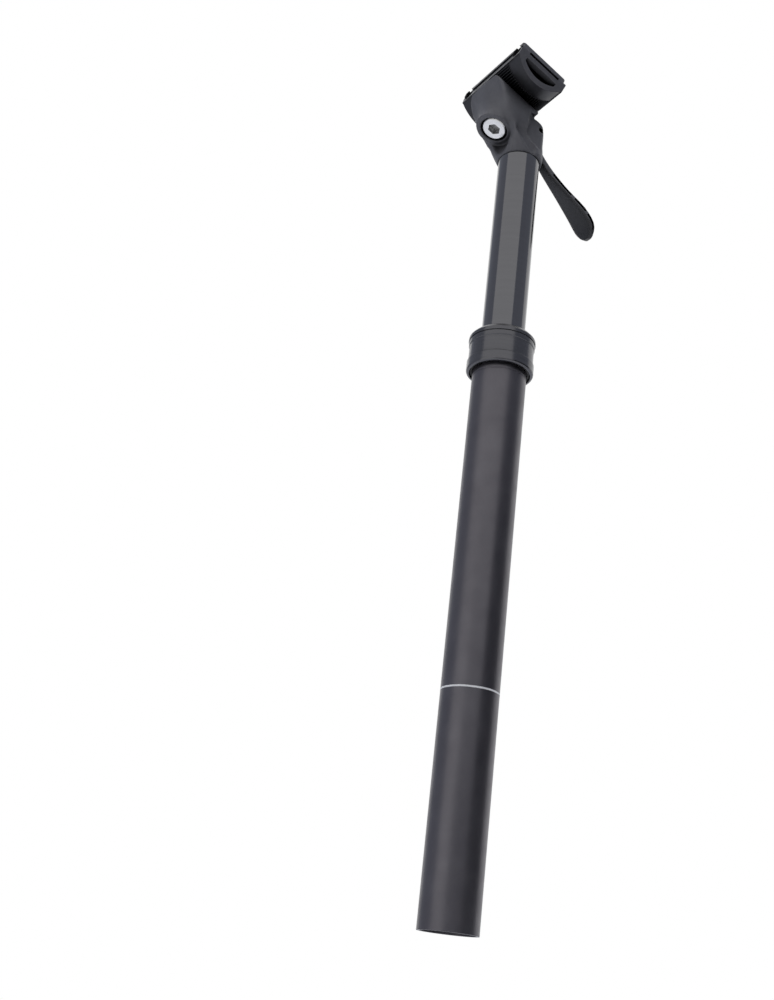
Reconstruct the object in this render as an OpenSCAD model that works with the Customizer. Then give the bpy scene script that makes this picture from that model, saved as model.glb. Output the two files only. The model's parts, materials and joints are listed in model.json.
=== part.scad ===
// Dropper seatpost with a drop lever under the saddle clamp, in millimetres.
// The origin is the centre of the post tube's lower end.
// +Z runs up the post, +X points forwards and +Y to the rider's left.

/* [Post tube] */
// Outside diameter of the post tube
post_d = 27.2; // [26.8:0.1:28.4]
// Wall of the post tube
post_wall = 1.3; // [1.1:0.05:1.5]
// Length of the post tube, foot to threaded top
post_len = 273; // [255:1:300]
// Height of the foot plug's underside above the tube's end
foot_recess = 12; // [9:0.5:18]
// Thickness of the foot plug
foot_plug_h = 12; // [8:0.5:16]

/* [Collar] */
// Largest diameter of the seal collar
collar_d = 33.8; // [33:0.1:35]
// Height of the seal collar's outer wall
collar_h = 20; // [19:0.2:24]
// Rise of the collar's shallow dome
dome_h = 2.2; // [1.6:0.1:3]
// Length of collar screwed onto the post tube
collar_grip = 6.2; // [5:0.2:8]
// Height of the plain lower band of the collar
collar_band_h = 5.6; // [5:0.2:8]
// Length of the upper bushing
upper_bushing_len = 26; // [18:1:34]
// Height that the wiper lip stands above the collar
wiper_proud = 0.5; // [0.3:0.1:1]

/* [Stanchion] */
// Outside diameter of the sliding stanchion
stanchion_d = 22; // [21.4:0.1:22.4]
// Wall of the stanchion
stanchion_wall = 1.6; // [1.4:0.05:1.8]
// Length of stanchion inside the post tube when extended
stanchion_overlap = 107; // [100:1:116]
// Drop travel
travel = 100; // [80:1:108]
// Gap between the head and the wiper at full drop
drop_gap = 5.5; // [4:0.1:8]
// Length of the lower bushing
lower_bushing_len = 18; // [12:1:24]
// Length of the guide keys
key_len = 14; // [8:1:18]
// Number of guide keys
key_count = 3; // [2:1:4]

/* [Head] */
// Width of the saddle cradle
cradle_w = 28.4; // [27:0.2:30]
// Drop of the rear arm's outer edge below the clamp's slit
arm_drop = 12.6; // [12:0.1:13.4]
// Height of the clamp's slit above the head's foot
clamp_rise = 43.4; // [42:0.2:46]
// Distance of the clamp's middle behind the post's axis
clamp_setback = 7.8; // [7.2:0.2:9]
// Forward lean of the rails on the post, square to a 71 degree seat tube
clamp_tilt = 19; // [17:0.5:21]
// Width across the lever cheeks
cheek_w = 22.2; // [20:0.2:23]
// Radius of the boss round the clamp bolt
boss_r = 10.2; // [9.8:0.1:10.8]

/* [Rail clamp] */
// Width across the rail clamp
clamp_w = 54.3; // [53.4:0.1:58]
// Length of the rail clamp along the rails
clamp_len = 31.2; // [30.6:0.2:33]
// Height of the tilt axis above the clamp's slit
tilt_rise = 8.2; // [8:0.1:9]
// Radius of the serrated barrel about the tilt axis
barrel_r = 20.2; // [19.8:0.1:20.6]
// Half width of the serrated barrel
barrel_half = 16.2; // [15.4:0.2:17]
// Saddle rail diameter
rail_d = 7; // [6.8:0.1:7.2]
// Distance between rail centres
rail_spacing = 44; // [43:0.5:45]
// Slit between the two clamp halves
clamp_slit = 1.4; // [1:0.1:2]
// Edge thickness of the upper clamp half
upper_edge = 2.6; // [2.2:0.1:3.4]
// Angle between serrations
serration_pitch = 4; // [3:1:6]
// Tilt adjustment each way
tilt_range = 10; // [4:1:10]

/* [Clamp bolt] */
// Thread diameter of the clamp bolt
bolt_d = 8; // [7:0.5:8]
// Head diameter of the clamp bolt
bolt_head_d = 13; // [12.4:0.1:13.4]
// Head height of the clamp bolt
bolt_head_h = 8; // [7:0.5:8.5]
// Hex key size across flats
hex_key = 6; // [5:0.5:6]
// Distance of the bolt's seat below the clamp's slit
bolt_seat = 21.9; // [21:0.1:23]

/* [Drop lever] */
// Distance of the lever's pivot ahead of the post's axis
pivot_x = 5.2; // [5:0.1:5.8]
// Height of the lever's pivot above the head's foot
pivot_h = 18.4; // [17.8:0.2:19]
// Diameter of the lever's pivot pin
pivot_d = 3; // [2.6:0.1:3.2]
// Width of the lever at its root
lever_root_w = 6.2; // [5.6:0.1:7]
// Width of the lever's paddle
lever_paddle_w = 13.6; // [12:0.2:15]
// Forward reach of the lever's tip from the pivot
lever_reach = 44.7; // [43:0.1:47]
// Drop of the lever's tip below the pivot
lever_fall = 44.2; // [42:0.1:46]
// Lift angle of the lever
lever_lift = 20; // [14:1:20]

/* [Gas spring] */
// Diameter of the gas spring's rod
rod_d = 8; // [7:0.5:8.4]
// Wall of the cartridge tube
cartridge_wall = 0.9; // [0.7:0.1:1]
// Width of the gas passage round the pressure tube
gas_passage = 0.7; // [0.5:0.1:0.9]
// Wall of the pressure tube
pressure_wall = 0.8; // [0.6:0.1:1]
// Diameter of the push pin under the lever
push_pin_d = 5; // [4.4:0.1:5.4]
// Diameter of the valve pin
valve_pin_d = 3; // [2.6:0.1:3.4]
// Number of coils in the valve spring
spring_turns = 6; // [4:1:7]
// Wire diameter of the valve spring
spring_wire = 0.9; // [0.7:0.1:1]

/* [Clearances] */
// Radial running clearance of sliding and turning fits
run_gap = 0.05; // [0.04:0.01:0.08]
// Radial gap of screwed, bonded and seated fits
seat_gap = 0.03; // [0.02:0.01:0.05]
// Side clearance of the lever in its slot
lever_side_gap = 0.25; // [0.2:0.05:0.4]

/* [Hidden] */
$fn = 72;

// Radii of the telescoping tubes
post_r = post_d / 2;
bore_r = post_r - post_wall;
stan_r = stanchion_d / 2;
stan_bore_r = stan_r - stanchion_wall;

// Heights up the post
collar_z = post_len - collar_grip;
collar_r = collar_d / 2;
wiper_top = collar_z + collar_h + dome_h + wiper_proud;
stan_z = post_len - stanchion_overlap;
head_z = wiper_top + drop_gap + travel;
clamp_z = head_z + clamp_rise;
pivot_z = head_z + pivot_h;
plug_top = foot_recess + foot_plug_h;

// Guide keys sit half in the stanchion and half in the tube's grooves
key_bite = 0.5;
key_r = (bore_r - stan_r) / 2 + key_bite;
key_mid_r = (bore_r + stan_r) / 2;
lower_bushing_z = stan_z + 2;
key_z = lower_bushing_z + lower_bushing_len + 2;
key_groove_z = key_z - travel - 4;

// Rod fixing at the foot
stud_r = 3;
washer_t = 1.4;
nut_h = 5;
nut_af = 10;
circlip_t = 1.2;
circlip_bite = 0.5;
bumper_h = 8;

// Gas spring
rod_r = rod_d / 2;
spigot_len = 22.8;
cart_r = stan_bore_r - 0.4;
cart_bore_r = cart_r - cartridge_wall;
press_r = cart_bore_r - gas_passage;
press_bore_r = press_r - pressure_wall;
retainer_h = 8;
cart_z = stan_z + retainer_h;
cart_top = head_z - spigot_len;
gland_h = 12;
gland_spigot = 4;
gland_top = cart_z + gland_h + gland_spigot;
top_out_h = 2.5;
piston_z = gland_top + top_out_h + 0.4;
piston_h = 10;
block_h = 24;
block_spigot = 4;
block_z = cart_top - block_h;

// Push pin, valve pin and their spring
push_r = push_pin_d / 2;
valve_r = valve_pin_d / 2;
spring_bore_r = 5;
spring_bore_h = 18;
flange_t = 2;
pin_flange_r = spring_bore_r - 0.4;
flange_z = cart_top + spring_bore_h - flange_t - 1;
spring_coil_r = 3.5;
spring_seat_gap = 0.1;
valve_tip_z = cart_top + 3;

// Lever slot and the lever's nose, which swings evenly about level
slot_half = lever_root_w / 2 + lever_side_gap;
slot_floor = head_z + 3.2;
slot_h = pivot_h + 3.4;
slot_back = -4;
slot_len = 8 * lever_root_w;
nose_r = 2;
nose_neck = 3.4;
nose_gap = 0.2;
nose_arm = pivot_x / cos(lever_lift / 2);
nose_z = pivot_z + nose_arm * sin(lever_lift / 2);
push_top = nose_z - nose_r - nose_gap;

// Cradle and clamp
base_r = stan_r + 0.5;
cradle_r = barrel_r + 2 * run_gap;
slit_half = clamp_slit / 2;
clamp_half = clamp_len / 2;
end_lean = 14;
end_flange_r = barrel_r - 0.5;
lip_h = 3.9;
rail_r = rail_d / 2;
rail_y = rail_spacing / 2;
crown_r = rail_r + 1.5;
nut_r = 6;
nut_half = 8;
trough_half = nut_half + 1.5;
trough_top = 5.4;
bolt_r = bolt_d / 2;
bolt_clear = bolt_r + 0.35;
bolt_washer_t = 1.6;
bolt_washer_r = bolt_head_d / 2 + 0.5;
counterbore_r = bolt_washer_r + 0.4;
bolt_under = bolt_seat + bolt_washer_t;
bolt_face = bolt_under + bolt_head_h;
boss_face = bolt_face + 0.4;

// Moves children to the clamp's own frame: X along the rails, Z square to them
module at_clamp() {
    translate([-clamp_setback, 0, clamp_z]) rotate([0, clamp_tilt, 0]) children();
}

// Moves children to the tilt axis, in the clamp's directions
module at_tilt() {
    at_clamp() translate([0, 0, tilt_rise]) children();
}

// Extrudes an X-Z outline to an even width about Y = 0
module side_extrude(width) {
    rotate([90, 0, 0]) linear_extrude(width, center = true) children();
}

// Ring between two radii
module ring(outer, inner, height, z = 0) {
    translate([0, 0, z]) difference() {
        cylinder(r = outer, h = height);
        translate([0, 0, -1]) cylinder(r = inner, h = height + 2);
    }
}

// Torus of a round section
module o_ring(middle_r, section_d, z) {
    translate([0, 0, z]) rotate_extrude() translate([middle_r, 0]) circle(d = section_d, $fn = 32);
}

// Places children at each guide key
module at_keys() {
    for (i = [0 : key_count - 1]) rotate([0, 0, i * 360 / key_count])
        translate([key_mid_r, 0, 0]) children();
}

// Catmull-Rom blend through rows of a list, at a fractional row
function row(list, i) = list[max(0, min(len(list) - 1, i))];
function blend_row(list, s) =
    let (i = min(floor(s), len(list) - 2), t = s - i,
         a = row(list, i - 1), b = row(list, i), c = row(list, i + 1), d = row(list, i + 2))
    b + 0.5 * t * ((c - a) + t * ((2 * a - 5 * b + 4 * c - d) + t * (3 * b - a - 3 * c + d)));

// Point of a unit superellipse
function power_sign(v, p) = sign(v) * pow(abs(v), p);
function super_point(angle, square) =
    [power_sign(cos(angle), 2 / square), power_sign(sin(angle), 2 / square)];

// Closed solid through rings of equal point counts
module loft(rings) {
    n = len(rings[0]);
    last = len(rings) - 1;
    sides = [for (i = [0 : last - 1], j = [0 : n - 1])
        let (a = i * n + j, b = i * n + (j + 1) % n)
        each [[a, a + n, b + n], [a, b + n, b]]];
    foot = [for (j = [0 : n - 1]) j];
    top = [for (j = [n - 1 : -1 : 0]) last * n + j];
    polyhedron(points = [for (r = rings) each r], faces = concat([foot], sides, [top]), convexity = 8);
}

// Post tube with its key grooves, circlip groove and the fine ring below the collar
ring_groove_w = 0.6;
ring_groove_z = collar_z - 2.7;
ring_groove_depth = 0.2;

module post_tube() {
    color([0.25, 0.25, 0.27]) difference() {
        cylinder(r = post_r, h = post_len);
        translate([0, 0, -1]) cylinder(r = bore_r, h = post_len + 2);
        translate([0, 0, key_groove_z])
            at_keys() cylinder(r = key_r + run_gap, h = post_len - key_groove_z + 1);
        translate([0, 0, foot_recess - circlip_t])
            cylinder(r = bore_r + circlip_bite, h = circlip_t);
        ring(post_r + 1, post_r - ring_groove_depth, ring_groove_w, ring_groove_z);
    }
}

// Seal collar: revolved shell with a plain lower band, a waist, two rim bands and a shallow dome
ring_d = 1.6;
ring_seat_r = post_r + ring_d + 0.2;
ring_seat_h = ring_d + 0.7;
waist_in = 0.6;
rim_band_h = 2.6;
rim_line = 0.3;
dome_top_r = stan_r + 0.9;
collar_bore_r = stan_r + 0.35;
wiper_groove_r = stan_r + 2;
wiper_groove_h = 4;
collar_top = collar_h + dome_h;
wiper_groove_z = collar_top - 6.2;
foot_round = 1.2;
top_round = 1.4;

module seal_collar() {
    waist_r = collar_r - waist_in;
    upper_line = collar_h - rim_band_h;
    lower_line = upper_line - rim_band_h;
    outline = concat(
        [for (a = [0 : 15 : 90])
            [collar_r - foot_round * (1 - sin(a)), foot_round * (1 - cos(a))]],
        [[collar_r, collar_band_h], [waist_r, collar_band_h + waist_in],
         [waist_r, lower_line - rim_line], [collar_r - rim_line, lower_line],
         [collar_r - rim_line, upper_line - rim_line], [collar_r - 2 * rim_line, upper_line - rim_line],
         [collar_r - 2 * rim_line, upper_line], [collar_r, upper_line]],
        [for (a = [0 : 15 : 75])
            [collar_r - top_round * (1 - cos(a)), collar_h - top_round * (1 - sin(a))]],
        [for (a = [30 : 15 : 90])
            [dome_top_r + (collar_r - top_round - dome_top_r) * cos(a), collar_h + dome_h * sin(a)]],
        [[collar_bore_r, collar_top],
         [collar_bore_r, wiper_groove_z + wiper_groove_h],
         [wiper_groove_r, wiper_groove_z + wiper_groove_h], [wiper_groove_r, wiper_groove_z],
         [collar_bore_r, wiper_groove_z], [collar_bore_r, collar_grip + 0.2],
         [post_r + seat_gap, collar_grip + 0.2], [post_r + seat_gap, ring_seat_h],
         [ring_seat_r, ring_seat_h], [ring_seat_r, 0]]);
    color([0.2, 0.2, 0.22]) translate([0, 0, collar_z]) rotate_extrude() polygon(outline);
}

module collar_o_ring() {
    color([0.05, 0.05, 0.05])
        o_ring(post_r + seat_gap + ring_d / 2, ring_d, collar_z + ring_seat_h - seat_gap - ring_d / 2);
}

module wiper_seal() {
    low = wiper_groove_z + seat_gap;
    high = wiper_groove_z + wiper_groove_h - seat_gap;
    lip_r = stan_r + run_gap;
    neck_r = collar_bore_r - seat_gap;
    outline = [[lip_r + 0.15, low], [wiper_groove_r - seat_gap, low], [wiper_groove_r - seat_gap, high],
        [neck_r, high], [neck_r, collar_top], [lip_r + 0.25, collar_top + wiper_proud],
        [lip_r, collar_top + wiper_proud * 0.6], [lip_r, high]];
    color([0.07, 0.07, 0.07]) translate([0, 0, collar_z]) rotate_extrude() polygon(outline);
}

module upper_bushing() {
    color([0.85, 0.83, 0.75])
        ring(bore_r - seat_gap, stan_r + run_gap, upper_bushing_len, post_len - upper_bushing_len);
}

// Foot: plug, circlip and the rod's nut and washer inside the tube's open end
module foot_plug() {
    dish_r = bore_r - 3;
    color([0.35, 0.35, 0.37]) difference() {
        translate([0, 0, foot_recess]) cylinder(r = bore_r - seat_gap, h = foot_plug_h);
        translate([0, 0, foot_recess - 1]) cylinder(r = stud_r + seat_gap, h = foot_plug_h + 2);
        translate([0, 0, plug_top - 2]) ring(dish_r, dish_r - 2, 3);
    }
}

module foot_circlip() {
    ring_in = bore_r - 1.6;
    lug_r = 1.5;
    lug_at = ring_in - 0.2;
    gap_angle = 24;
    color([0.3, 0.3, 0.32]) translate([0, 0, foot_recess - circlip_t]) linear_extrude(circlip_t)
        difference() {
            union() {
                difference() {
                    circle(r = bore_r + circlip_bite - seat_gap);
                    circle(r = ring_in);
                }
                for (side = [-1, 1]) rotate(side * gap_angle) translate([lug_at, 0]) circle(r = lug_r);
            }
            polygon([[0, 0], for (a = [-gap_angle / 2, gap_angle / 2]) post_d * [cos(a), sin(a)]]);
            for (side = [-1, 1]) rotate(side * gap_angle) translate([lug_at, 0]) circle(r = 0.7, $fn = 24);
        }
}

module rod_washer() {
    color("silver") ring(nut_af / 2 + 1, stud_r + seat_gap, washer_t, foot_recess - washer_t);
}

module rod_nut() {
    color("silver") translate([0, 0, foot_recess - washer_t - nut_h]) difference() {
        cylinder(d = nut_af / cos(30), h = nut_h, $fn = 6);
        translate([0, 0, -1]) cylinder(r = stud_r + seat_gap, h = nut_h + 2);
    }
}

// Waisted elastomer ring that the stanchion's foot lands near at full drop
module bottom_bumper() {
    inner = rod_r + seat_gap;
    outer = press_bore_r + 1.5;
    outline = concat([[inner, 0]],
        [for (a = [0 : 15 : 180]) [outer - 1.2 * sin(a), bumper_h * a / 180]], [[inner, bumper_h]]);
    color([0.1, 0.1, 0.1]) translate([0, 0, plug_top]) rotate_extrude() polygon(outline);
}

// Rod of the gas spring: stud through the plug, shoulder on it, spigot in the piston
spigot_r = 2.5;
stud_end = 1;

module spring_rod() {
    color("silver") union() {
        translate([0, 0, foot_recess - washer_t - nut_h - stud_end])
            cylinder(r = stud_r, h = foot_plug_h + washer_t + nut_h + stud_end + 1);
        translate([0, 0, plug_top]) cylinder(r = rod_r, h = piston_z - plug_top);
        translate([0, 0, piston_z - 1]) cylinder(r = spigot_r, h = piston_h + 2);
    }
}

piston_ring_w = 3;
piston_ring_t = 1.2;
piston_ring_z = piston_z + (piston_h - piston_ring_w) / 2;

module rod_piston() {
    color([0.8, 0.7, 0.4]) difference() {
        translate([0, 0, piston_z]) cylinder(r = press_bore_r - 2 * run_gap, h = piston_h);
        translate([0, 0, piston_z - 1]) cylinder(r = spigot_r + seat_gap, h = piston_h + 2);
        ring(press_bore_r + 1, press_bore_r - piston_ring_t, piston_ring_w, piston_ring_z);
    }
}

module piston_ring() {
    color([0.1, 0.1, 0.1])
        ring(press_bore_r - run_gap, press_bore_r - piston_ring_t + seat_gap, piston_ring_w - 2 * seat_gap,
            piston_ring_z + seat_gap);
}

// Sliding stanchion with seats for the guide keys
module stanchion() {
    color([0.28, 0.29, 0.31]) difference() {
        ring(stan_r, stan_bore_r, head_z - stan_z, stan_z);
        translate([0, 0, key_z]) at_keys() cylinder(r = key_r + seat_gap, h = key_len);
    }
}

module lower_bushing() {
    color([0.85, 0.83, 0.75])
        ring(bore_r - run_gap, stan_r + seat_gap, lower_bushing_len, lower_bushing_z);
}

module guide_keys() {
    color([0.8, 0.65, 0.3]) translate([0, 0, key_z]) at_keys() cylinder(r = key_r, h = key_len);
}

// Gas spring cartridge inside the stanchion
module cartridge_retainer() {
    slot_w = 3;
    color([0.4, 0.4, 0.42]) difference() {
        ring(stan_bore_r - seat_gap, rod_r + 1.2, retainer_h, stan_z);
        for (a = [0, 90]) rotate([0, 0, a]) translate([-stan_r, -slot_w / 2, stan_z - 1])
            cube([stanchion_d, slot_w, 3]);
    }
}

module cartridge_tube() {
    color([0.5, 0.5, 0.52]) ring(cart_r, cart_bore_r, cart_top - cart_z, cart_z);
}

module pressure_tube() {
    color([0.7, 0.7, 0.72])
        ring(press_r, press_bore_r, block_z - cart_z - gland_h, cart_z + gland_h);
}

rod_seal_w = 3;
rod_seal_t = 2.1;
rod_seal_z = cart_z + 5;

module rod_gland() {
    color([0.55, 0.55, 0.58]) difference() {
        union() {
            translate([0, 0, cart_z]) cylinder(r = cart_bore_r - seat_gap, h = gland_h);
            translate([0, 0, cart_z + 1])
                cylinder(r = press_bore_r - seat_gap, h = gland_h + gland_spigot - 1);
        }
        translate([0, 0, cart_z - 1]) cylinder(r = rod_r + run_gap, h = gland_h + gland_spigot + 2);
        translate([0, 0, rod_seal_z]) cylinder(r = rod_r + rod_seal_t, h = rod_seal_w);
    }
}

module rod_seal() {
    color([0.1, 0.1, 0.1])
        ring(rod_r + rod_seal_t - seat_gap, rod_r + run_gap, rod_seal_w - 2 * seat_gap,
            rod_seal_z + seat_gap);
}

module top_out_bumper() {
    color([0.1, 0.1, 0.1]) ring(press_bore_r - 0.4, rod_r + 0.3, top_out_h, gland_top);
}

block_seal_d = 1.8;
block_seal_z = [for (k = [0, 1]) block_z + 8 + 8 * k];
block_seal_r = cart_bore_r - seat_gap - block_seal_d / 2;

module valve_block() {
    color([0.6, 0.55, 0.4]) difference() {
        union() {
            translate([0, 0, block_z]) cylinder(r = cart_bore_r - seat_gap, h = block_h);
            translate([0, 0, block_z - block_spigot])
                cylinder(r = press_bore_r - seat_gap, h = block_spigot + 1);
        }
        translate([0, 0, block_z - block_spigot - 1])
            cylinder(r = valve_r + run_gap, h = block_h + block_spigot + 2);
        for (z = block_seal_z)
            ring(cart_r, cart_bore_r - block_seal_d - 2 * seat_gap, block_seal_d + 2 * seat_gap,
                z - block_seal_d / 2 - seat_gap);
    }
}

module valve_block_seals() {
    color([0.1, 0.1, 0.1]) for (z = block_seal_z) o_ring(block_seal_r, block_seal_d, z);
}

// Forged head. The neck is lofted from a round foot to a square cradle.
// Each row: height, half width, then reach back, reach forward, corner radius and crown of the rear
// wall as shares of the foot's radius.
function neck_rows() =
    let (half = cradle_w / 2, low = pivot_h / 18.4, high = (clamp_rise - pivot_h) / 25)
    [[0.3, base_r * 1.035, 1, 1.07, 0.98, 0],
     [2.5 * low, base_r * 1.078, 1.043, 1.087, 0.87, 0],
     [6.3 * low, base_r * 1.07, 1.061, 1.078, 0.5, 0],
     [9.5 * low, half * 0.908, 1.07, 1, 0.304, 0.04],
     [12.4 * low, half * 0.93, 1.243, 0.826, 0.217, 0.26],
     [15.1 * low, half * 0.958, 1.487, 0.61, 0.19, 0.52],
     [pivot_h, half * 1.014, 1.757, 0.391, 0.174, 0.52],
     [pivot_h + 5 * high, half * 1.035, 1.922, 0.174, 0.174, 0.35],
     [pivot_h + 15 * high, half * 1.035, 2.243, 0.217, 0.174, 0.13],
     [pivot_h + 26 * high, half * 1.035, 2.565, 0.217, 0.174, 0.07]];

function neck_ring(r) =
    let (z = head_z + r[0], half = r[1], back = base_r * r[2], front = base_r * r[3],
         corner = base_r * r[4], crown = base_r * r[5], flat = half - corner)
    concat(
        [for (a = [-90 : 10 : 90]) [front * cos(a), half * sin(a), z]],
        [for (a = [90 : 15 : 180]) [corner - back + corner * cos(a), flat + corner * sin(a), z]],
        [for (t = [0.75 : -0.25 : -0.75]) [-back - crown * pow(1 - t * t, 2), flat * t, z]],
        [for (a = [180 : 15 : 270]) [corner - back + corner * cos(a), corner * sin(a) - flat, z]]);

module neck() {
    rows = neck_rows();
    rings_per_row = 3;
    loft([for (k = [0 : (len(rows) - 1) * rings_per_row]) neck_ring(blend_row(rows, k / rings_per_row))]);
}

// Lever cheeks: an outline with a round top front corner and a swept rear edge
cheek_front = 7.8;
cheek_back = -5.6;
cheek_top = pivot_h + 4.8;
cheek_round = 6.9;
cheek_foot = 3.6;
cheek_corner_r = base_r + 1;

function cheek_sweep() =
    let (sweep_r = 9.5, sweep_top = pivot_h - 3)
    [for (a = [0 : 15 : 60]) [cheek_back + sweep_r * (1 - cos(a)), sweep_top - sweep_r * sin(a)]];

module cheeks() {
    outline = concat(
        [for (a = [0 : 15 : 90])
            [cheek_front - cheek_round * (1 - cos(a)), cheek_top - cheek_round * (1 - sin(a))]],
        [[cheek_back, cheek_top]], cheek_sweep(), [[cheek_front, cheek_foot]]);
    intersection() {
        translate([0, 0, head_z]) side_extrude(cheek_w) polygon(outline);
        translate([0, 0, head_z]) cylinder(r = cheek_corner_r, h = clamp_rise);
    }
}

// Flats that let the cheeks' faces into the neck
module cheek_flats() {
    for (side = [-1, 1]) translate([0, side * cheek_w, head_z]) side_extrude(cheek_w)
        polygon(concat([[cheek_w, cheek_top], [cheek_back, cheek_top]], cheek_sweep(),
            [[cheek_front, cheek_foot], [cheek_w, cheek_foot]]));
}

// Groove beside each rear ridge of the neck
groove_web = 11;
groove_r = 4;
groove_len = 12.8;
groove_low = [-0.2, 2.4];

module side_grooves() {
    y = groove_web + groove_r;
    for (side = [-1, 1])
        translate([groove_low[0], side * y, head_z + groove_low[1]]) rotate([0, -45, 0]) {
            sphere(r = groove_r);
            cylinder(r = groove_r, h = groove_len);
            translate([0, 0, groove_len]) sphere(r = groove_r);
        }
}

// Trims the cradle: round upper corners, and arms that slope up to the barrel
module cradle_envelope() {
    corner = 8.5;
    corner_top = arm_drop - 2.2;
    inner_drop = arm_drop - 4.2;
    half = cradle_w / 2 + 1;
    deep = 80;
    rear_edge = -18.5;
    lip = 12;
    toe = 14.6;
    front_drop = 17;
    at_clamp() intersection() {
        rotate([90, 0, 90]) linear_extrude(2 * deep, center = true) translate([0, -corner_top]) union() {
            translate([-half, -deep]) square([2 * half, deep - corner]);
            translate([-half + corner, -deep]) square([2 * (half - corner), deep]);
            for (side = [-1, 1]) translate([side * (half - corner), -corner]) circle(r = corner);
        }
        side_extrude(2 * cradle_w) polygon([[-deep, -deep], [-deep, -arm_drop], [rear_edge, -arm_drop],
            [-lip, -inner_drop], [lip, -inner_drop], [toe, -inner_drop - 2], [toe - 1.5, -front_drop],
            [deep, -front_drop], [deep, -deep]]);
    }
}

module seat_head() {
    color([0.33, 0.33, 0.34]) difference() {
        union() {
            intersection() {
                difference() {
                    union() {
                        neck();
                        at_clamp() translate([0, 0, -boss_face])
                            cylinder(r = boss_r, h = boss_face - arm_drop);
                    }
                    side_grooves();
                    cheek_flats();
                }
                cradle_envelope();
            }
            cheeks();
            translate([0, 0, head_z]) cylinder(r = base_r, h = 1.4);
            translate([0, 0, cart_top]) cylinder(r = stan_bore_r - seat_gap, h = spigot_len + 1);
        }
        at_tilt() rotate([90, 0, 0]) cylinder(r = cradle_r, h = 2 * cradle_w, center = true);
        at_clamp() translate([0, 0, -boss_face - 2 * boss_r]) cylinder(r = boss_r, h = 2 * boss_r);
        at_clamp() translate([0, 0, -boss_face - 1])
            cylinder(r = counterbore_r, h = boss_face - bolt_seat + 1);
        at_clamp() translate([0, 0, -bolt_seat - 1]) cylinder(r = bolt_clear, h = bolt_seat + 1);
        translate([slot_back, -slot_half, slot_floor])
            cube([slot_len, 2 * slot_half, slot_h]);
        translate([pivot_x, 0, pivot_z]) rotate([90, 0, 0])
            cylinder(r = pivot_d / 2 + seat_gap, h = 2 * cheek_w, center = true);
        translate([0, 0, cart_top - 1]) cylinder(r = push_r + run_gap, h = slot_floor - cart_top + 2);
        translate([0, 0, cart_top - 1]) cylinder(r = spring_bore_r, h = spring_bore_h + 1);
    }
}

pin_inset = 2.5;

module lever_pivot_pin() {
    color("silver") translate([pivot_x, 0, pivot_z]) rotate([90, 0, 0])
        cylinder(d = pivot_d, h = cheek_w - 2 * pin_inset, center = true);
}

// Clamp bolt and its washer, held by the head
module clamp_bolt() {
    edge = 0.8;
    thread_end = tilt_rise + nut_r - 0.8;
    socket_h = 4.2;
    head_r = bolt_head_d / 2;
    color([0.85, 0.85, 0.87]) at_clamp() difference() {
        rotate_extrude() polygon([[0, -bolt_face], [head_r - edge, -bolt_face], [head_r, edge - bolt_face],
            [head_r, -bolt_under], [bolt_r, -bolt_under], [bolt_r, thread_end - edge],
            [bolt_r - edge, thread_end], [0, thread_end]]);
        translate([0, 0, -bolt_face - 1]) cylinder(d = hex_key / cos(30), h = socket_h + 1, $fn = 6);
    }
}

module bolt_washer() {
    color([0.7, 0.7, 0.72]) at_clamp() ring(bolt_washer_r, bolt_clear, bolt_washer_t, -bolt_under);
}

// Barrel nut that lies across the upper clamp half on the tilt axis
module clamp_nut() {
    color([0.7, 0.7, 0.72]) at_tilt() difference() {
        rotate([90, 0, 0]) cylinder(r = nut_r, h = 2 * nut_half, center = true);
        cylinder(r = bolt_r + seat_gap, h = 4 * nut_r, center = true);
    }
}

// Slot that lets the clamp halves tilt round the fixed bolt
module tilt_slot() {
    reach = barrel_r + 6;
    translate([0, 0, tilt_rise]) {
        for (a = [-tilt_range, tilt_range]) rotate([0, a, 0])
            translate([0, 0, -reach]) cylinder(r = bolt_clear, h = reach);
        side_extrude(2 * bolt_clear)
            polygon([[0, 0], for (a = [-tilt_range, tilt_range]) -reach * [sin(a), cos(a)]]);
    }
}

module rail_grooves() {
    for (side = [-1, 1]) translate([0, side * rail_y, 0]) rotate([0, 90, 0])
        cylinder(r = rail_r, h = 2 * clamp_len, center = true);
}

// Lower clamp half: a serrated barrel between two smooth flanges, with leaning hollow ends
serration_depth = 0.55;
pocket_r = end_flange_r - 2.7;
pocket_half = 10.4;
pocket_top = 3.3;
pocket_fall = 2;
pocket_deep = 6.4;

// Section of the clamp body: lips at front and rear over an arc about the tilt axis
module body_outline(arc_points) {
    lip_low = slit_half + lip_h;
    polygon(concat([[clamp_half, -slit_half], [-clamp_half, -slit_half], [-clamp_half, -lip_low]],
        arc_points, [[clamp_half, -lip_low]]));
}

// Points of an arc about the tilt axis, rear to front below the lips
function arc_points(r, steps, tooth = 0) =
    let (span = acos((tilt_rise + slit_half + lip_h) / r))
    [for (k = [0 : steps])
        let (a = span * (2 * k / steps - 1), q = r - (k % 2) * tooth)
        [q * sin(a), tilt_rise - q * cos(a)]];

// Hollow of an end, whose ceiling falls inwards under the rail groove
module end_pocket(side) {
    ceiling = [[-1, pocket_top], [0, pocket_top], [pocket_fall, rail_r + 1.4], [pocket_deep, rail_r + 2.4]];
    low = 2 * pocket_r;
    intersection() {
        side_extrude(2 * pocket_deep) intersection() {
            translate([0, tilt_rise]) circle(r = pocket_r);
            translate([-pocket_half, -pocket_r]) square([2 * pocket_half, pocket_r - pocket_top]);
        }
        rotate([90, 0, 90]) linear_extrude(clamp_len, center = true)
            polygon(concat([for (p = ceiling) [-side * p[0], -p[1]]],
                [[-side * pocket_deep, -low], [side, -low]]));
    }
}

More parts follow.
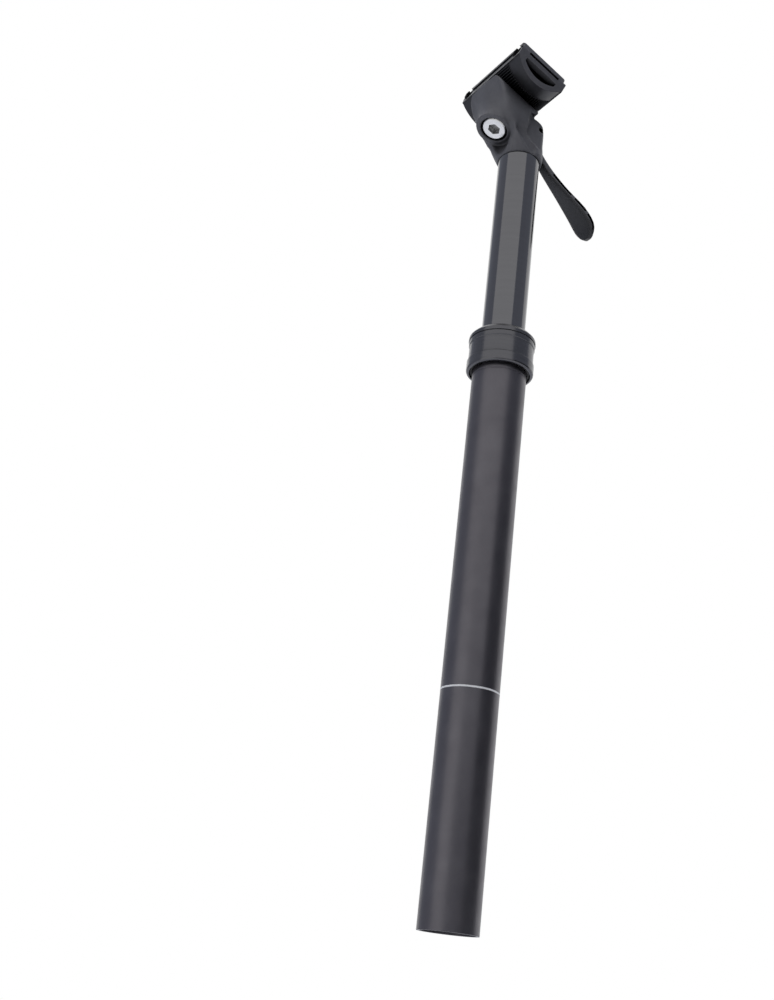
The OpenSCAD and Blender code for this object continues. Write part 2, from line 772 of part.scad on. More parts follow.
module lower_rail_clamp() {
    span = acos((tilt_rise + slit_half + lip_h) / barrel_r);
    teeth = floor(2 * span / serration_pitch);
    pad_len = clamp_half - pocket_half;
    flange_mid = (clamp_w / 2 + barrel_half) / 2;
    flange_len = clamp_w / 2 - barrel_half;
    color([0.12, 0.12, 0.12]) at_clamp() difference() {
        union() {
            side_extrude(2 * barrel_half) body_outline(arc_points(barrel_r, 2 * teeth, serration_depth));
            side_extrude(clamp_w) body_outline(arc_points(end_flange_r, 32));
            for (side = [-1, 1], end = [-1, 1])
                translate([end * (clamp_half - pad_len / 2), side * flange_mid, 0])
                    cube([pad_len, flange_len, clamp_slit], center = true);
        }
        tilt_slot();
        rail_grooves();
        for (side = [-1, 1]) translate([0, side * clamp_w / 2, 0]) rotate([-side * end_lean, 0, 0]) {
            translate([-clamp_len, side > 0 ? 0 : -clamp_len, -2 * clamp_len])
                cube([2 * clamp_len, clamp_len, 2 * clamp_len]);
            end_pocket(side);
        }
    }
}

// Upper clamp half: plate with a crown over each rail and a trough for the barrel nut
plate_corner = 1.5;
plate_shift = -1;

module plate_outline() {
    length = clamp_len - 2 * plate_corner - 0.6;
    width = clamp_w - 2 * plate_corner;
    square([length + 2 * plate_corner, width], center = true);
    square([length, clamp_w], center = true);
    for (x = [-1, 1], y = [-1, 1]) translate([x * length / 2, y * width / 2]) circle(r = plate_corner);
}

module upper_rail_clamp() {
    trough_u = nut_r + 2.6;
    crown_len = clamp_len - 2 * plate_corner;
    color([0.12, 0.12, 0.12]) at_clamp() difference() {
        union() {
            translate([plate_shift, 0, slit_half]) linear_extrude(upper_edge) plate_outline();
            translate([-trough_u, -trough_half, slit_half])
                cube([2 * trough_u, 2 * trough_half, trough_top - slit_half]);
            intersection() {
                for (side = [-1, 1]) translate([plate_shift, side * rail_y, 0]) rotate([0, 90, 0])
                    cylinder(r = crown_r, h = crown_len, center = true);
                translate([-clamp_len, -clamp_w / 2, slit_half]) cube([2 * clamp_len, clamp_w, clamp_len]);
            }
        }
        tilt_slot();
        rail_grooves();
        translate([0, 0, tilt_rise]) rotate([90, 0, 0])
            cylinder(r = nut_r + 2 * run_gap, h = 4 * nut_half, center = true);
    }
}

// Drop lever: a lofted paddle with side pockets, a hub and a nose over the push pin.
// Each row: forward and down from the pivot as shares of the reach and fall, width, thickness.
lever_arm_w = lever_root_w - 0.3;
function lever_rows() =
    [[0.03, 0.03, lever_arm_w, 4.8], [0.166, 0.2, lever_arm_w - 0.4, 4],
     [0.335, 0.363, lever_arm_w + 0.5, 4.1], [0.559, 0.537, (lever_root_w + lever_paddle_w) / 2 - 0.6, 3.7],
     [0.8, 0.71, lever_paddle_w - 0.5, 4.4], [0.942, 0.86, lever_paddle_w, 4.1],
     [0.99, 0.955, lever_paddle_w * 0.64, 3.4], [1, 1, lever_paddle_w * 0.26, 2.4]];

function lever_middle(s) =
    let (r = blend_row(lever_rows(), s)) [r[0] * lever_reach, -r[1] * lever_fall];
function lever_across(s) =
    let (d = lever_middle(s + 0.05) - lever_middle(s - 0.05)) [-d[1], d[0]] / norm(d);
function lever_ring(s, count) =
    let (r = blend_row(lever_rows(), s), m = lever_middle(s), n = lever_across(s))
    [for (j = [0 : count - 1])
        let (p = super_point(360 * j / count, 4.5), q = m + n * p[0] * r[3] / 2)
        [q[0], -p[1] * r[2] / 2, q[1]]];

// Outline of a side pocket between two places along the lever
function pocket_edge(from, to, share) =
    [for (k = [0 : 5]) let (s = from + (to - from) * k / 5, r = blend_row(lever_rows(), s))
        lever_middle(s) + lever_across(s) * share * r[3]];

lever_pockets = [[2.1, 3.25], [3.45, 4.15], [4.35, 5.6]];
pocket_upper = 0.27;
pocket_lower = -0.14;
lever_web = 3.2;

module lever_pocket_cuts() {
    for (p = lever_pockets, side = [-1, 1])
        translate([0, side * (lever_web / 2 + lever_paddle_w / 2), 0]) side_extrude(lever_paddle_w)
            polygon(concat(pocket_edge(p[0], p[1], pocket_upper), pocket_edge(p[1], p[0], pocket_lower)));
}

hub_r = 3.4;

module drop_lever() {
    steps_per_row = 3;
    last = len(lever_rows()) - 1;
    color([0.15, 0.15, 0.15]) translate([pivot_x, 0, pivot_z]) difference() {
        union() {
            difference() {
                loft([for (k = [0 : last * steps_per_row]) lever_ring(k / steps_per_row, 20)]);
                lever_pocket_cuts();
            }
            side_extrude(lever_root_w) union() {
                circle(r = hub_r);
                rotate(180 - lever_lift / 2) translate([0, -nose_neck / 2]) square([nose_arm, nose_neck]);
                translate([-pivot_x, nose_z - pivot_z]) circle(r = nose_r);
            }
        }
        rotate([90, 0, 0]) cylinder(r = pivot_d / 2 + run_gap, h = 2 * lever_root_w, center = true);
    }
}

// Push pin with a slim tip under the nose and a spring flange, and the valve pin below it
push_tip_r = push_r - 1;

module push_pin() {
    color("silver") union() {
        translate([0, 0, valve_tip_z]) cylinder(r = push_r, h = slot_floor - valve_tip_z);
        translate([0, 0, slot_floor - 1]) cylinder(r = push_tip_r, h = push_top - slot_floor + 1);
        translate([0, 0, flange_z]) cylinder(r = pin_flange_r, h = flange_t);
    }
}

poppet_r = 3;
poppet_h = 3;
poppet_z = block_z - block_spigot - poppet_h - 0.3;

module valve_pin() {
    color("silver") union() {
        translate([0, 0, poppet_z]) cylinder(r = valve_r, h = valve_tip_z - poppet_z);
        translate([0, 0, poppet_z]) cylinder(r = poppet_r, h = poppet_h);
    }
}

// Valve spring: one helix between the valve block and the push pin's flange
spring_low = cart_top + spring_seat_gap + spring_wire / 2;
spring_high = flange_z - spring_seat_gap - spring_wire / 2;
spring_rings = 8;
spring_sides = 6;

function spring_ring(k) =
    let (turn = k / spring_rings, z = spring_low + (spring_high - spring_low) * turn / spring_turns)
    [for (j = [0 : spring_sides - 1])
        let (r = spring_coil_r + cos(360 * j / spring_sides) * spring_wire / 2)
        [r * cos(360 * turn), r * sin(360 * turn), z - sin(360 * j / spring_sides) * spring_wire / 2]];

module valve_spring() {
    color([0.6, 0.6, 0.62]) loft([for (k = [0 : spring_turns * spring_rings]) spring_ring(k)]);
}

spring_gap = (spring_high - spring_low) / spring_turns - spring_wire;
echo(least_gap_between_spring_coils = spring_gap);

post_tube();
seal_collar();
collar_o_ring();
wiper_seal();
upper_bushing();
foot_plug();
foot_circlip();
rod_washer();
rod_nut();
bottom_bumper();
spring_rod();
rod_piston();
piston_ring();
stanchion();
lower_bushing();
guide_keys();
seat_head();
lever_pivot_pin();
cartridge_retainer();
cartridge_tube();
pressure_tube();
rod_gland();
rod_seal();
top_out_bumper();
valve_block();
valve_block_seals();
clamp_bolt();
bolt_washer();
clamp_nut();
lower_rail_clamp();
upper_rail_clamp();
drop_lever();
push_pin();
valve_pin();
valve_spring();
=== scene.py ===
"""Dropper seatpost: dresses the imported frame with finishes, light and the photograph's camera.

Finishes and pieces are given in millimetres, and the studio in metres and degrees.
"""
import json
import math

import bmesh
import bpy
from mathutils import Matrix, Vector


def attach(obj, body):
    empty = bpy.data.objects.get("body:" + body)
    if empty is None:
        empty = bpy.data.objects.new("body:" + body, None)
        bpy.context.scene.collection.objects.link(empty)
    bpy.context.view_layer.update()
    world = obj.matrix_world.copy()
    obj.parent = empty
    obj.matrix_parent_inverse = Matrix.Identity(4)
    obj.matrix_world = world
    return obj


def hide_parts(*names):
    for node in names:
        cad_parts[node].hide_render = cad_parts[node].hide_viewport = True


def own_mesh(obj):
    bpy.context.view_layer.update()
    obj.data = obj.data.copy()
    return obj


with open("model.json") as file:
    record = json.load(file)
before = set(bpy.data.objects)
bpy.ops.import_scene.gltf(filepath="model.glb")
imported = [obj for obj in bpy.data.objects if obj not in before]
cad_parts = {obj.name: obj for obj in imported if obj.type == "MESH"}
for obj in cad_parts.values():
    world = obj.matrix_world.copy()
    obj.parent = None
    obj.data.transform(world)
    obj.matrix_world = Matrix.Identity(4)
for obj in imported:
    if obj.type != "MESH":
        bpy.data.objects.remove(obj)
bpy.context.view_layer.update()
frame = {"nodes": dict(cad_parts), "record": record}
nodes = frame["nodes"]
scene = bpy.context.scene
MM = 0.001


# Shader building blocks

# Noise keeps mostly between these two values
NOISE_LOW = 0.3
NOISE_HIGH = 0.7
# Specular level that the shader has by itself
PLAIN_GLOSS = 0.5
# Patches of uneven gloss are smaller than the blotches of colour by this share
GLOSS_PATCH = 0.4


def grey(value, blue=1.0):
    return (value, value, value * blue)


def new_material(name):
    material = bpy.data.materials.new(name)
    material.use_nodes = True
    return material, material.node_tree, material.node_tree.nodes["Principled BSDF"]


def noise(tree, size, detail=3.0, stretch=(1.0, 1.0, 1.0)):
    """Noise in the piece's own frame; size is the width of a blotch in millimetres."""
    coords = tree.nodes.new("ShaderNodeTexCoord")
    mapping = tree.nodes.new("ShaderNodeMapping")
    mapping.inputs["Scale"].default_value = stretch
    texture = tree.nodes.new("ShaderNodeTexNoise")
    texture.inputs["Scale"].default_value = 1.0 / (size * MM)
    texture.inputs["Detail"].default_value = detail
    tree.links.new(coords.outputs["Object"], mapping.inputs["Vector"])
    tree.links.new(mapping.outputs["Vector"], texture.inputs["Vector"])
    return texture.outputs["Fac"]


def tones(tree, factor, dark, light, start=NOISE_LOW, end=NOISE_HIGH):
    """Colour that runs from dark to light as the factor does from start to end."""
    node = tree.nodes.new("ShaderNodeValToRGB")
    node.color_ramp.elements[0].position = start
    node.color_ramp.elements[0].color = (*dark, 1.0)
    node.color_ramp.elements[1].position = end
    node.color_ramp.elements[1].color = (*light, 1.0)
    tree.links.new(factor, node.inputs["Fac"])
    return node.outputs["Color"]


def span(tree, factor, low, high):
    """Number that runs from low to high as the factor does over the middle of its range."""
    node = tree.nodes.new("ShaderNodeMapRange")
    node.inputs["From Min"].default_value = NOISE_LOW
    node.inputs["From Max"].default_value = NOISE_HIGH
    node.inputs["To Min"].default_value = low
    node.inputs["To Max"].default_value = high
    tree.links.new(factor, node.inputs["Value"])
    return node.outputs["Result"]


def math_node(tree, operation, first, second=None):
    """Result of an operation on one output, or on two."""
    node = tree.nodes.new("ShaderNodeMath")
    node.operation = operation
    tree.links.new(first, node.inputs[0])
    if second is not None:
        tree.links.new(second, node.inputs[1])
    return node.outputs["Value"]


def scaled(tree, first, gain):
    node = tree.nodes.new("ShaderNodeMath")
    node.operation = "MULTIPLY"
    node.inputs[1].default_value = gain
    tree.links.new(first, node.inputs[0])
    return node.outputs["Value"]


def colour_mix(tree, first, second):
    """Mix node of two colours, whose factor and blend type are set by the caller."""
    node = tree.nodes.new("ShaderNodeMix")
    node.data_type = "RGBA"
    tree.links.new(first, node.inputs["A"])
    tree.links.new(second, node.inputs["B"])
    return node


def relief(tree, shader, height, depth, edge):
    """Bump of a depth in millimetres over edges that look rounded to a radius in millimetres."""
    bevel = tree.nodes.new("ShaderNodeBevel")
    bevel.samples = 6
    bevel.inputs["Radius"].default_value = edge * MM
    bump = tree.nodes.new("ShaderNodeBump")
    bump.inputs["Strength"].default_value = 1.0
    bump.inputs["Distance"].default_value = depth * MM
    tree.links.new(height, bump.inputs["Height"])
    tree.links.new(bevel.outputs["Normal"], bump.inputs["Normal"])
    tree.links.new(bump.outputs["Normal"], shader.inputs["Normal"])


def painted_side_light(tree, colour, light):
    """Painted light: a lighter tone on the faces that look left and right, standing in for light that falls
    on them from the side.
    """
    starts_at = 0.8
    full_at = 0.93
    light_patch_size = 1.5
    light_patch_share = 0.85
    dark = tuple(light_patch_share * channel for channel in light)
    coords = tree.nodes.new("ShaderNodeTexCoord")
    split = tree.nodes.new("ShaderNodeSeparateXYZ")
    tree.links.new(coords.outputs["Normal"], split.inputs["Vector"])
    sideways = math_node(tree, "ABSOLUTE", split.outputs["Y"])
    mask = tones(tree, sideways, grey(0.0), grey(1.0), starts_at, full_at)
    pale = tones(tree, noise(tree, light_patch_size), dark, light)
    node = colour_mix(tree, colour, pale)
    tree.links.new(mask, node.inputs["Factor"])
    return node.outputs["Result"]


def painted_shade(tree, shader, colour, reach, floor):
    """Painted shade: darkens and dulls hollows and the places under nearby parts, by how enclosed they are;
    reach is how wide a hollow counts, in millimetres.
    """
    deep_at = 0.4
    open_at = 1.0
    hollow = tree.nodes.new("ShaderNodeAmbientOcclusion")
    hollow.samples = 8
    hollow.inputs["Distance"].default_value = reach * MM
    share = tones(tree, hollow.outputs["AO"], grey(floor), grey(1.0), deep_at, open_at)
    tree.links.new(scaled(tree, share, PLAIN_GLOSS), shader.inputs["Specular IOR Level"])
    node = colour_mix(tree, colour, share)
    node.blend_type = "MULTIPLY"
    node.inputs["Factor"].default_value = 1.0
    return node.outputs["Result"]


def finish(name, dark, light, blotch, rough, metallic, grain, depth, edge=0.2, stretch=(1, 1, 1),
           shade_reach=None, side_light_tone=None):
    """Metal, rubber or plastic with uneven colour, uneven gloss, a fine grain and soft edges.

    The blotch and grain sizes, the grain's depth and the edge radius are millimetres; painted shade in
    hollows and under nearby parts is given as its reach and floor, and painted light on faces that look
    sideways as its tone.
    """
    material, tree, shader = new_material(name)
    colour = tones(tree, noise(tree, blotch, detail=4.0, stretch=stretch), dark, light)
    # Painted light on the faces that look sideways
    if side_light_tone:
        colour = painted_side_light(tree, colour, side_light_tone)
    # Painted shade in hollows and under nearby parts
    if shade_reach:
        colour = painted_shade(tree, shader, colour, *shade_reach)
    tree.links.new(colour, shader.inputs["Base Color"])
    gloss_patch = noise(tree, blotch * GLOSS_PATCH, detail=3.0, stretch=stretch)
    tree.links.new(span(tree, gloss_patch, *rough), shader.inputs["Roughness"])
    shader.inputs["Metallic"].default_value = metallic
    relief(tree, shader, noise(tree, grain, detail=2.0, stretch=stretch), depth, edge)
    return material


# Turned pieces have their noise drawn out into rings round the post
RINGS = (0.25, 0.25, 6.0)

# Some finishes carry painted shade in hollows and under nearby parts, given as its reach and floor, and
# painted light on faces that look sideways, given as its tone.
FINISHES = {
    "post_satin": dict(
        dark=(0.104, 0.099, 0.111), light=(0.122, 0.117, 0.130), blotch=14, rough=(0.33, 0.40),
        metallic=0.9, grain=0.25, depth=0.004, edge=0.3),
    "collar_gloss": dict(
        dark=grey(0.095, 1.08), light=grey(0.108, 1.08), blotch=9, rough=(0.17, 0.23),
        metallic=0.95, grain=0.3, depth=0.002, edge=0.25, stretch=RINGS),
    "stanchion_gloss": dict(
        dark=grey(0.130, 1.06), light=grey(0.137, 1.06), blotch=11, rough=(0.09, 0.12),
        metallic=1.0, grain=0.3, depth=0.0006, edge=0.2, stretch=RINGS),
    "head_blasted": dict(
        dark=grey(0.105, 1.1), light=grey(0.125, 1.1), blotch=7, rough=(0.50, 0.58),
        metallic=0.3, grain=0.22, depth=0.02, edge=0.3, shade_reach=(26, 0.05)),
    "clamp_black": dict(
        dark=grey(0.040, 1.1), light=grey(0.050, 1.1), blotch=6, rough=(0.36, 0.44),
        metallic=0.5, grain=0.25, depth=0.01, edge=0.25, shade_reach=(9, 0.05), side_light_tone=grey(0.115, 1.1)),
    "lever_black": dict(
        dark=grey(0.034, 1.08), light=grey(0.042, 1.08), blotch=6, rough=(0.42, 0.50),
        metallic=0.5, grain=0.25, depth=0.004, edge=0.35, shade_reach=(4, 0.2), side_light_tone=grey(0.11, 1.08)),
    "bolt_steel": dict(
        dark=grey(0.72), light=grey(0.80), blotch=2, rough=(0.20, 0.28),
        metallic=1.0, grain=0.15, depth=0.003, edge=0.25, shade_reach=(4, 0.35)),
    "steel": dict(
        dark=grey(0.50), light=grey(0.58), blotch=4, rough=(0.25, 0.33),
        metallic=1.0, grain=0.3, depth=0.003, stretch=RINGS),
    "spring_steel": dict(
        dark=grey(0.12), light=grey(0.17), blotch=2, rough=(0.40, 0.50),
        metallic=0.9, grain=0.2, depth=0.006, edge=0.15),
    "inner_aluminium": dict(
        dark=grey(0.30), light=grey(0.36), blotch=5, rough=(0.35, 0.45),
        metallic=1.0, grain=0.3, depth=0.004, stretch=RINGS),
    "brass": dict(
        dark=(0.50, 0.34, 0.11), light=(0.60, 0.42, 0.15), blotch=4, rough=(0.28, 0.36),
        metallic=1.0, grain=0.3, depth=0.003, stretch=RINGS),
    "bushing": dict(
        dark=(0.62, 0.58, 0.46), light=(0.70, 0.66, 0.54), blotch=5, rough=(0.45, 0.55),
        metallic=0.0, grain=0.3, depth=0.006),
    "rubber": dict(
        dark=grey(0.010), light=grey(0.016), blotch=3, rough=(0.55, 0.68),
        metallic=0.0, grain=0.2, depth=0.012, edge=0.15),
}
WHITE_INK = dict(
    dark=grey(0.82), light=grey(0.90), blotch=3, rough=(0.45, 0.55),
    metallic=0.0, grain=0.3, depth=0.002, edge=0.02)
MATERIALS = {slot: finish(slot, **facts) for slot, facts in FINISHES.items()}


# Pieces made from the solids

# The clamp bolt's axis runs down from the middle of the rails, and leans back
BOLT_TOP = Vector((-7.8, 0, 438.4)) * MM
BOLT_TILT = math.radians(19.0)
BOLT_AXIS = Vector((math.sin(BOLT_TILT), 0, math.cos(BOLT_TILT)))
# The bolt's head is all that lies further than this from the axis, and grows by this much all round
BOLT_HEAD_FROM = 5.5
BOLT_HEAD_GROWTH = 0.5
# The corner round the bolt's boss: its reach from the axis, its depth down the axis, and how it fades out
BOSS_REACH = (9.0, 17.0)
BOSS_DEPTH = (13.0, 31.0)
BOSS_FADE = 2.5


def cleaned(name):
    """Copy of a solid's mesh, and an editable form of it with shared corners and whole flat faces."""
    weld_within = 0.002 * MM
    flat_within = math.radians(0.5)
    mesh = nodes[name].data.copy()
    body = bmesh.new()
    body.from_mesh(mesh)
    bmesh.ops.remove_doubles(body, verts=body.verts, dist=weld_within)
    bmesh.ops.dissolve_limit(body, angle_limit=flat_within, verts=body.verts, edges=body.edges)
    return mesh, body


def place(name, mesh, node, slot, body):
    """Puts a mesh in the scene in place of a solid."""
    mesh.name = name
    mesh.materials.clear()
    mesh.materials.append(MATERIALS[slot])
    piece = bpy.data.objects.new(name, mesh)
    scene.collection.objects.link(piece)
    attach(piece, body)
    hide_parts(node)
    return piece


def smooth_by_angle(mesh, degrees):
    for polygon in mesh.polygons:
        polygon.use_smooth = True
    mesh.set_sharp_from_angle(angle=math.radians(degrees))


def depth_and_reach(point):
    """How far down the clamp bolt's axis a point lies, in metres, and the vector from the axis to it."""
    offset = point - BOLT_TOP
    depth = -offset.dot(BOLT_AXIS)
    return depth, offset + BOLT_AXIS * depth


def broad_head(shape):
    """Widens the bolt's head, which nearly fills its counterbore in the photograph."""
    for vert in shape.verts:
        _, outward = depth_and_reach(vert.co)
        if outward.length > BOLT_HEAD_FROM * MM:
            vert.co += outward.normalized() * BOLT_HEAD_GROWTH * MM


def eased(name, node, slot, body, width, corner=32.0, reshape=None):
    """Solid with its edges sharper than a corner, in degrees, broken to a small width in millimetres."""
    mesh, shape = cleaned(node)
    if reshape:
        reshape(shape)
    limit = math.radians(corner)
    inner = [edge for edge in shape.edges if len(edge.link_faces) == 2]
    sharp = [edge for edge in inner if edge.calc_face_angle(0.0) > limit]
    bmesh.ops.bevel(shape, geom=sharp, offset=width * MM, segments=2, profile=0.7, affect="EDGES",
                    clamp_overlap=True)
    shape.to_mesh(mesh)
    shape.free()
    smooth_by_angle(mesh, degrees=24.0)
    return place(name, mesh, node, slot, body)


def boss_weight(point):
    """How far a point of the head lies in the corner round the bolt's boss, from 0 to 1."""
    depth, outward = depth_and_reach(point)
    depth = depth / MM
    reach = outward.length / MM
    near, far = BOSS_REACH
    top, foot = BOSS_DEPTH
    if reach < near or reach > far or depth < top:
        return 0.0
    by_depth = max(0.0, min(1.0, (foot - depth) / BOSS_FADE))
    by_reach = min(1.0, (far - reach) / BOSS_FADE)
    return by_depth * by_reach


def soften(mesh, weight, rounds):
    """Averages each point with its neighbours, as strongly as its weight says."""
    shape = bmesh.new()
    shape.from_mesh(mesh)
    chosen = [(vert, weight(vert.co)) for vert in shape.verts]
    chosen = [(vert, share) for vert, share in chosen if share > 0.0]
    for _ in range(rounds):
        moved = []
        for vert, share in chosen:
            around = [edge.other_vert(vert).co for edge in vert.link_edges]
            middle = sum(around, Vector()) / len(around)
            moved.append(vert.co.lerp(middle, 0.5 * share))
        for (vert, _), place_to in zip(chosen, moved):
            vert.co = place_to
    shape.to_mesh(mesh)
    shape.free()


def forged(name, node, slot, body, voxel, rounds, corner_rounds):
    """Solid with every edge and inner corner rounded, as a forging that was blasted."""
    mesh, shape = cleaned(node)
    bmesh.ops.triangulate(shape, faces=shape.faces)
    shape.to_mesh(mesh)
    shape.free()
    blank = bpy.data.objects.new(name + "_blank", mesh)
    scene.collection.objects.link(blank)
    remesh = blank.modifiers.new("skin", "REMESH")
    remesh.mode = "VOXEL"
    remesh.voxel_size = voxel * MM
    smooth = blank.modifiers.new("round", "SMOOTH")
    smooth.factor = 0.5
    smooth.iterations = rounds
    bpy.context.view_layer.update()
    seen = blank.evaluated_get(bpy.context.evaluated_depsgraph_get())
    skin = bpy.data.meshes.new_from_object(seen)
    bpy.data.objects.remove(blank)
    soften(skin, boss_weight, corner_rounds)
    for polygon in skin.polygons:
        polygon.use_smooth = True
    return place(name, skin, node, slot, body)


def printed_ring(name, low, high, radius, body):
    """Thin printed line round the post tube, in millimetres, with edges that waver as a screen print's do."""
    sides = 180
    inner_lift = 0.004
    outer_lift = 0.02
    mesh = bpy.data.meshes.new(name)
    shape = bmesh.new()
    rows = []
    for level, lift in ((low, inner_lift), (low, outer_lift), (high, outer_lift), (high, inner_lift)):
        reach = (radius + lift) * MM
        row = []
        for k in range(sides):
            angle = 2 * math.pi * k / sides
            waver = 0.02 * math.sin(7 * angle) + 0.015 * math.sin(23 * angle + level)
            z = (level + waver) * MM
            row.append(shape.verts.new((reach * math.cos(angle), reach * math.sin(angle), z)))
        rows.append(row)
    for lower, upper in zip(rows, rows[1:] + rows[:1]):
        for k in range(sides):
            after = (k + 1) % sides
            shape.faces.new((lower[k], lower[after], upper[after], upper[k]))
    bmesh.ops.recalc_face_normals(shape, faces=shape.faces)
    shape.to_mesh(mesh)
    shape.free()
    smooth_by_angle(mesh, degrees=40.0)
    mesh.materials.append(finish("white_ink", **WHITE_INK))
    piece = bpy.data.objects.new(name, mesh)
    scene.collection.objects.link(piece)
    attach(piece, body)
    return piece


def shortening_coil(name, node, slot, body):
    """Copy of the coil spring with a mesh of its own, moving with a body."""
    piece = place(name, nodes[node].data.copy(), node, slot, body)
    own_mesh(piece)
    return piece


forged("forged_head", "seat_head", "head_blasted", "slider", voxel=0.45, rounds=6, corner_rounds=160)
eased("eased_upper_clamp", "upper_rail_clamp", "clamp_black", "rail_clamp", width=0.35)
eased("eased_lever", "drop_lever", "lever_black", "lever", width=0.3, corner=40.0)
eased("eased_bolt", "clamp_bolt", "bolt_steel", "slider", width=0.25, reshape=broad_head)
eased("eased_post_tube", "post_tube", "post_satin", "mast", width=0.3)
shortening_coil("valve_coil", "valve_spring", "spring_steel", "valve")
printed_ring("insertion_line", low=103.9, high=104.75, radius=13.6, body="mast")


# Finishes of the solids that show as they are

slot_of = {part["node"]: part["material_slot"] for part in frame["record"]["subparts"]}
for node_name, node_object in nodes.items():
    node_object.data.materials.clear()
    node_object.data.materials.append(MATERIALS[slot_of[node_name]])


# Studio: a pale floor well below that runs back from the post, a surround that shows white and lights mostly
# from behind and above, lamps out of sight, and grey cards that the dark bands in glossy metal come from

AWAY = Vector((0.49, 0.872, 0.0))
UPWARDS = Vector((0, 0, 1))


def add_floor(level, reach, setback):
    mesh = bpy.data.meshes.new("studio_floor")
    shape = bmesh.new()
    bmesh.ops.create_circle(shape, cap_ends=True, radius=reach, segments=96)
    bmesh.ops.translate(shape, verts=shape.verts, vec=AWAY * setback + UPWARDS * level)
    shape.to_mesh(mesh)
    shape.free()
    paper, tree, shader = new_material("studio_paper")
    tree.links.new(tones(tree, noise(tree, size=400), grey(0.80), grey(0.84)), shader.inputs["Base Color"])
    shader.inputs["Roughness"].default_value = 0.9
    mesh.materials.append(paper)
    floor = bpy.data.objects.new("studio_floor", mesh)
    scene.collection.objects.link(floor)


def glow_towards(tree, coords, direction, start, end, gain):
    """Light that grows from nothing to its gain as the view turns towards a direction."""
    facing = tree.nodes.new("ShaderNodeVectorMath")
    facing.operation = "DOT_PRODUCT"
    facing.inputs[1].default_value = direction
    growth = tree.nodes.new("ShaderNodeMapRange")
    growth.interpolation_type = "SMOOTHSTEP"
    growth.inputs["From Min"].default_value = start
    growth.inputs["From Max"].default_value = end
    growth.inputs["To Min"].default_value = 0.0
    growth.inputs["To Max"].default_value = gain
    tree.links.new(coords.outputs["Generated"], facing.inputs[0])
    tree.links.new(facing.outputs["Value"], growth.inputs["Value"])
    return growth.outputs["Result"]


def add_surround(near, far, high, tint):
    """White to the camera and in reflections; its light is dim in front, and grows upwards and behind."""
    world = bpy.data.worlds.new("studio_surround")
    world.use_nodes = True
    tree = world.node_tree
    tree.nodes.clear()
    seen = tree.nodes.new("ShaderNodeBackground")
    seen.inputs["Color"].default_value = (1, 1, 1, 1)
    seen.inputs["Strength"].default_value = 1.0
    lit = tree.nodes.new("ShaderNodeBackground")
    lit.inputs["Color"].default_value = (*tint, 1)
    coords = tree.nodes.new("ShaderNodeTexCoord")
    behind = glow_towards(tree, coords, AWAY, start=0.2, end=1.0, gain=far)
    above = glow_towards(tree, coords, UPWARDS, start=0.25, end=0.50, gain=high)
    base = tree.nodes.new("ShaderNodeValue")
    base.outputs["Value"].default_value = near
    total = math_node(tree, "ADD", math_node(tree, "ADD", behind, base.outputs["Value"]), above)
    tree.links.new(total, lit.inputs["Strength"])
    rays = tree.nodes.new("ShaderNodeLightPath")
    shown = rays.outputs["Is Camera Ray"]
    for kind in ("Is Glossy Ray", "Is Transmission Ray"):
        shown = math_node(tree, "MAXIMUM", shown, rays.outputs[kind])
    mix = tree.nodes.new("ShaderNodeMixShader")
    output = tree.nodes.new("ShaderNodeOutputWorld")
    tree.links.new(shown, mix.inputs["Fac"])
    tree.links.new(lit.outputs["Background"], mix.inputs[1])
    tree.links.new(seen.outputs["Background"], mix.inputs[2])
    tree.links.new(mix.outputs["Shader"], output.inputs["Surface"])
    scene.world = world


def add_panel(name, place_at, aim_at, width, tall, radiance):
    """Area light that faces a point; radiance is the brightness of its face."""
    light = bpy.data.lights.new(name, "AREA")
    light.shape = "RECTANGLE"
    light.size = width
    light.size_y = tall
    light.energy = radiance * math.pi * width * tall
    lamp = bpy.data.objects.new(name, light)
    lamp.location = place_at
    lamp.rotation_euler = (Vector(aim_at) - lamp.location).to_track_quat("-Z", "Y").to_euler()
    lamp.visible_camera = False
    lamp.visible_glossy = False
    scene.collection.objects.link(lamp)


def round_post(azimuth, distance, height):
    """Point at an angle round the post, in degrees, and a distance and height in metres."""
    angle = math.radians(azimuth)
    return Vector((distance * math.cos(angle), distance * math.sin(angle), height))


def add_arc(name, panels, distance, spread, high, radiance):
    """Upright panels edge to edge on an arc round the post, each given as its angle and lower edge."""
    width = 2 * distance * math.tan(math.radians(spread) / 2)
    for number, (azimuth, low) in enumerate(panels):
        middle = (low + high) / 2
        place_at = round_post(azimuth, distance, middle)
        add_panel(f"{name}_{number}", place_at, (0, 0, middle), width, high - low, radiance)


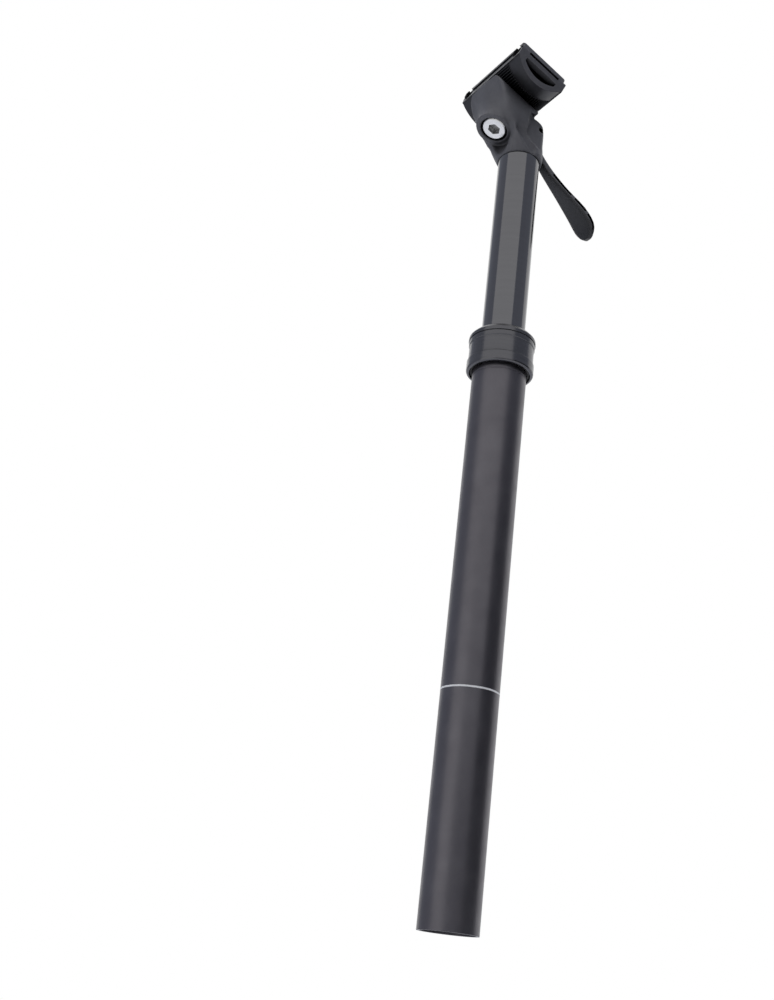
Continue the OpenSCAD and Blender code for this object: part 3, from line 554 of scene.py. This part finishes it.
def add_card(name, azimuth, distance, spread, low, high, brightness):
    """Upright grey card beside the set, out of the picture, that dark bands in glossy metal come from."""
    dark_tint = (0.90, 0.95, 1.10)
    light_tint = (0.94, 0.99, 1.14)
    half = distance * math.tan(math.radians(spread) / 2)
    angle = math.radians(azimuth)
    sideways = Vector((-math.sin(angle), math.cos(angle), 0))
    corners = []
    for z, side in ((low, -half), (low, half), (high, half), (high, -half)):
        corners.append(tuple(round_post(azimuth, distance, z) + sideways * side))
    mesh = bpy.data.meshes.new(name)
    mesh.from_pydata(corners, [], [(0, 1, 2, 3)])
    paper, tree, shader = new_material(name)
    shader.inputs["Base Color"].default_value = (0, 0, 0, 1)
    shader.inputs["Specular IOR Level"].default_value = 0.0
    shader.inputs["Emission Strength"].default_value = brightness
    tree.links.new(tones(tree, noise(tree, size=300), dark_tint, light_tint), shader.inputs["Emission Color"])
    mesh.materials.append(paper)
    card = bpy.data.objects.new(name, mesh)
    card.visible_camera = False
    card.visible_shadow = False
    scene.collection.objects.link(card)


def add_camera(place_at, right, up, lens):
    """Camera fitted to the photograph: its place in metres and the picture's right and up directions."""
    right = Vector(right).normalized()
    back = right.cross(Vector(up).normalized())
    turn = Matrix((right, back.cross(right), back)).transposed()
    data = bpy.data.cameras.new("photo_camera")
    data.lens = lens
    data.sensor_width = 36.0
    data.sensor_fit = "AUTO"
    camera = bpy.data.objects.new("photo_camera", data)
    camera.matrix_world = Matrix.Translation(place_at) @ turn.to_4x4()
    scene.collection.objects.link(camera)
    scene.camera = camera


add_floor(level=-0.30, reach=1.6, setback=1.1)
add_surround(near=0.02, far=0.75, high=0.40, tint=(0.90, 0.95, 1.12))
add_arc("broad_light", ((186.0, 0.3), (222.0, 0.3), (258.0, 1.4)), distance=2.3, spread=36.0, high=3.2,
        radiance=0.88)
add_card("right_high_card", azimuth=311.0, distance=1.4, spread=70.0, low=0.9, high=2.8, brightness=0.40)
add_card("right_low_card", azimuth=311.0, distance=1.4, spread=70.0, low=-0.29, high=0.9, brightness=0.10)
add_card("left_card", azimuth=134.0, distance=1.4, spread=68.0, low=-0.29, high=2.8, brightness=0.45)
add_card("near_low_card", azimuth=245.0, distance=1.6, spread=60.0, low=-0.29, high=0.45, brightness=0.24)
add_panel("near_side_light", round_post(288.0, 1.06, 2.12), (0, 0, 0.42), width=1.6, tall=0.7, radiance=2.4)
add_panel("right_edge_light", round_post(15.0, 1.6, 0.9), (0, 0, 0.4), width=0.6, tall=1.6, radiance=0.8)
add_panel("far_floor_light", AWAY * 1.3 + UPWARDS * 2.0, AWAY * 1.3, width=2.0, tall=2.0, radiance=2.0)
add_camera(place_at=(-0.3180, -0.4672, -0.0264), right=(0.8432, -0.5252, 0.1145),
           up=(-0.2835, -0.2536, 0.9248), lens=45.26)
scene.view_settings.view_transform = "Standard"
scene.view_settings.look = "None"
